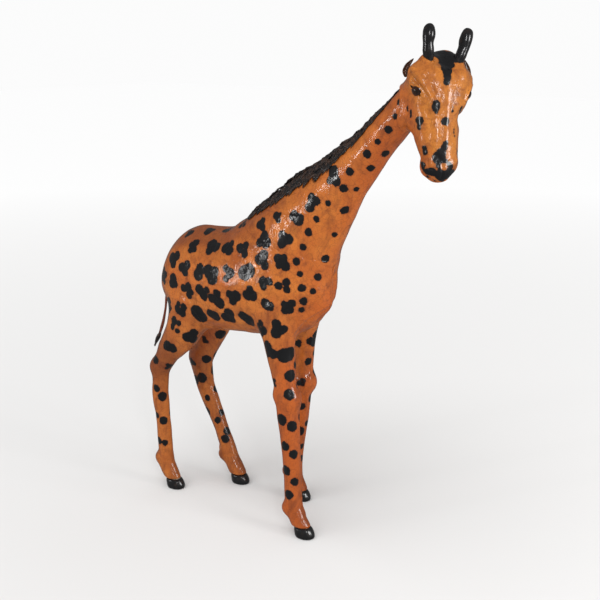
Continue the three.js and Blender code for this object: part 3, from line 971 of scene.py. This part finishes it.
def mane():
    """Pointed locks of flat strands, laid over each other down both sides of the crest."""
    rng = np.random.default_rng(5)
    tubes = []
    locks = 42
    for row, (turn, spread, long, lift) in enumerate(MANE_ROWS):
        for lock in range(locks):
            share = min(1, (lock + 0.37 * row % 1 + rng.uniform(-0.25, 0.25)) / locks)
            size = mane_size(share)
            for sign in (-1, 1):
                root, out = body.settle(surface, mane_place(share, sign * turn))
                side = unit(np.cross(MANE_WAY, out))
                side = side if side[0] * sign > 0 else -side
                bearing = spread + rng.normal(0, 0.12)
                aim = -math.cos(bearing) * MANE_WAY + math.sin(bearing) * side
                reach = long * (0.3 + 0.7 * size) * rng.uniform(0.75, 1.2)
                puff = lift * size * rng.uniform(0.5, 1.5)
                for strand in np.linspace(-1, 1, 4):
                    start = root + strand * size * (2.4 * side + 1.5 * MANE_WAY) + rng.normal(0, 0.3, 3)
                    end = root + reach * aim + 0.5 * strand * side + rng.normal(0, 0.4, 3)
                    path, across = [], []
                    for k, height in zip(np.linspace(0, 1, 5), (0.0, 0.9, 1.1, 0.9, 0.15)):
                        spot, outward = body.settle(surface, start + k * (end - start))
                        path.append(spot + (0.15 + puff * height * rng.uniform(0.8, 1.2)) * outward)
                        across.append(np.cross(aim, outward))
                    wide = np.array((0.55, 0.95, 0.95, 0.65, 0.1)) * rng.uniform(0.75, 1.1)
                    wide *= 0.5 + 0.5 * size
                    tubes.append(tube(path, across, wide, wide * 0.6))
    return strands_object("mane_locks", tubes)


# The thong's route: (forward, up), down the middle of the figure.
TAIL = [(-124, 202.5), (-136.5, 199.5), (-142.5, 187.5), (-144.5, 171.5), (-148.5, 156.5), (-153.5, 144.5)]


def tail():
    """The thong, a little twisted, and the strands of its black tip."""
    rng = np.random.default_rng(8)
    bends = np.array([place(forward, 0, up) for forward, up in TAIL])
    share = np.linspace(0, len(bends) - 1, 30)
    line = np.transpose([np.interp(share, range(len(bends)), bends[:, a]) for a in range(3)])
    for _ in range(3):
        line[1:-1] = (line[:-2] + 2 * line[1:-1] + line[2:]) / 4
    turns = np.linspace(0, 2.2, len(line))
    across = [np.array((math.cos(t), math.sin(t), 0)) for t in turns]
    wide = 1.45 + 0.15 * np.sin(np.linspace(0, 17, len(line)))
    thong = unpainted(strands_object("tail_twist", [tube(line, across, wide, wide * 0.72, 10)]))
    start, (tuft_low, tuft_high) = line[-1], box_of(["tail_tuft"])
    tip = np.array((0, tuft_high[1] - 0.6, tuft_low[2] + 0.5))
    swellings = (0.5, 1.3, 1.6, 1.3, 0.7, 0.1)
    wide, deep = (0.5, 0.9, 0.95, 0.8, 0.5, 0.12), (0.4, 0.7, 0.7, 0.6, 0.4, 0.1)
    strands = 9
    tubes = []
    for strand in range(strands):
        turn = 2 * math.pi * strand / strands
        aside = np.array((math.cos(turn), math.sin(turn), 0))
        places = zip(np.linspace(-0.08, 1, len(swellings)), swellings)
        path = [start + (tip - start) * share + aside * swelling for share, swelling in places]
        path[-1] = path[-1] + rng.normal(0, 0.5, 3)
        tubes.append(tube(path, [np.cross(aside, (0, 0, 1))] * len(path), wide, deep))
    return thong, strands_object("tail_brush", tubes)


EAR_HIDE = 0.8  # thickness of the ears' leather


def ear(side, route, width, curl, facing):
    """A leaf of leather along a route over the head's frame, rolled towards facing."""
    middle = np.array([on_head(*p) for p in route])
    share = np.linspace(0, 1, 13)
    stops = np.linspace(0, 1, len(middle))
    line = np.transpose([np.interp(share, stops, middle[:, a]) for a in range(3)])
    along = np.gradient(line, axis=0)
    facing = on_head(*facing) - on_head(0, 0, 0)
    points = []
    count = 11
    for inset in (0.0, EAR_HIDE):
        for at, way, k in zip(line, along, share):
            way = unit(way)
            front = unit(facing - (facing @ way) * way)
            flat = np.cross(way, front)
            half = width * math.sin(math.pi * (0.12 + 0.86 * k)) ** 0.7
            bend = curl * (0.75 + 0.5 * k)
            radius = half / bend
            for turn in np.linspace(-bend, bend, count):
                out = math.sin(turn) * flat - math.cos(turn) * front
                points.append(at + front * radius + out * (radius - inset))
    faces = []
    rows, size = len(line), len(line) * count
    for r in range(rows - 1):
        for c in range(count - 1):
            a = r * count + c
            faces.append((a, a + 1, a + count + 1, a + count))
            faces.append((size + a, size + a + count, size + a + count + 1, size + a + 1))
    rim = [r * count for r in range(rows)], [r * count + count - 1 for r in range(rows)]
    ends = list(range(count)), [(rows - 1) * count + c for c in range(count)]
    for line_, flip in ((rim[0], False), (rim[1], True), (ends[0], True), (ends[1], False)):
        for a, b in zip(line_[:-1], line_[1:]):
            quad = (a, b, size + b, size + a)
            faces.append(quad if not flip else quad[::-1])
    obj = mesh_object(f"ear_{side}_leaf", np.array(points), faces)
    smooth = obj.modifiers.new("smooth", "SUBSURF")
    smooth.levels = smooth.render_levels = 1
    unpainted(obj)
    return finish_piece(obj, "ear_leather", ear_leather, "ear_" + side)


finish_piece(mane(), "mane_leather", mane_black, "mane")
twist, brush = tail()
finish_piece(twist, "leg_leather", thong_leather, "tail_thong")
finish_piece(brush, "mane_leather", mane_black, "tail_tuft")
ear("right", [(15, -18, -7), (11, -18.5, -7), (7, -17, -6), (2, -12.5, -4)], 3.8, 1.6, (0.1, -0.55, 0.8))
ear("left", [(28, 25, -3), (20, 28, -1), (11, 28, 1), (3, 25.5, 3)], 5.0, 1.3, (0.1, 0.35, 0.9))


# ------------------ stage, lights, camera
def floor():
    reach, level = 6000, -0.05
    corners = [(x, y, level) for x, y in ((-reach, -reach), (reach, -reach), (reach, reach), (-reach, reach))]
    obj = mesh_object("floor", corners, [(0, 1, 2, 3)])
    n = Nodes("floor_painted_shade")
    away = n.add("ShaderNodeVectorMath", n.at, operation="LENGTH").outputs["Value"]
    # Painted shade: the floor is coloured darker near the figure and lighter far off, fading into the white
    # sky.
    painted_shade_tone = n.mix(n.ramp(away, 200, 2000), (0.67, 0.665, 0.66, 1), (0.85, 0.85, 0.85, 1))
    n.shader.inputs["Specular IOR Level"].default_value = 0
    obj.data.materials.append(n.set(Base_Color=painted_shade_tone, Roughness=n.ramp(n.noise(40, 2), 0.3, 0.7, 0.7, 0.8)))
    obj.visible_glossy = False


def softbox(name, at, aim, size, power):
    """A lamp of that size in metres, at one place and aimed at another."""
    data = bpy.data.lights.new(name, "AREA")
    data.shape = "RECTANGLE"
    data.size, data.size_y = size
    data.energy = power
    light = bpy.data.objects.new(name, data)
    bpy.context.scene.collection.objects.link(light)
    light.location = at
    light.rotation_euler = (Vector(aim) - Vector(at)).to_track_quat("-Z", "Y").to_euler()


def camera():
    """The photo's camera, which another program fitted to the ruler's marks."""
    data = bpy.data.cameras.new("camera")
    data.lens, data.sensor_width = 57, 36
    data.clip_end = 50
    obj = bpy.data.objects.new("camera", data)
    bpy.context.scene.collection.objects.link(obj)
    obj.location = (-0.6391, -0.4664, 0.4215)
    obj.rotation_euler = (math.radians(74.5), 0, math.radians(-54.65))
    bpy.context.scene.camera = obj


def sky():
    """White behind everything, but dimmer where the figure is lit by it and much dimmer in its varnish."""
    world = bpy.data.worlds.new("world")
    bpy.context.scene.world = world
    world.use_nodes = True
    tree = world.node_tree
    ray = tree.nodes.new("ShaderNodeLightPath")
    strength = 0.6
    for kind, more in (("Is Camera Ray", 0.37), ("Is Glossy Ray", -0.48)):
        step = tree.nodes.new("ShaderNodeMath")
        step.operation = "MULTIPLY_ADD"
        tree.links.new(ray.outputs[kind], step.inputs[0])
        step.inputs[1].default_value = more
        if isinstance(strength, float):
            step.inputs[2].default_value = strength
        else:
            tree.links.new(strength, step.inputs[2])
        strength = step.outputs[0]
    background = tree.nodes["Background"]
    background.inputs["Color"].default_value = (1, 1, 1, 1)
    tree.links.new(strength, background.inputs["Strength"])


def sun(name, tilt, turn, strength, spread):
    """Wide soft light from above, which the varnish doesn't mirror."""
    data = bpy.data.lights.new(name, "SUN")
    data.energy = strength
    data.angle = math.radians(spread)
    light = bpy.data.objects.new(name, data)
    bpy.context.scene.collection.objects.link(light)
    light.rotation_euler = (math.radians(tilt), 0, math.radians(turn))
    light.visible_glossy = False


floor()
camera()
sky()
sun("overhead", 25, -100, 1.9, 60)
softbox("key", (-0.95, 0.62, 0.3), (0, 0, 0.25), (0.05, 0.4), 1.1)
softbox("front", (-0.9, -0.9, 0.75), (0, -0.02, 0.25), (0.09, 0.5), 2.4)
softbox("side", (0.1, -1.3, 0.5), (0, -0.02, 0.25), (0.4, 0.5), 6)
bpy.context.scene.view_settings.view_transform = "Standard"
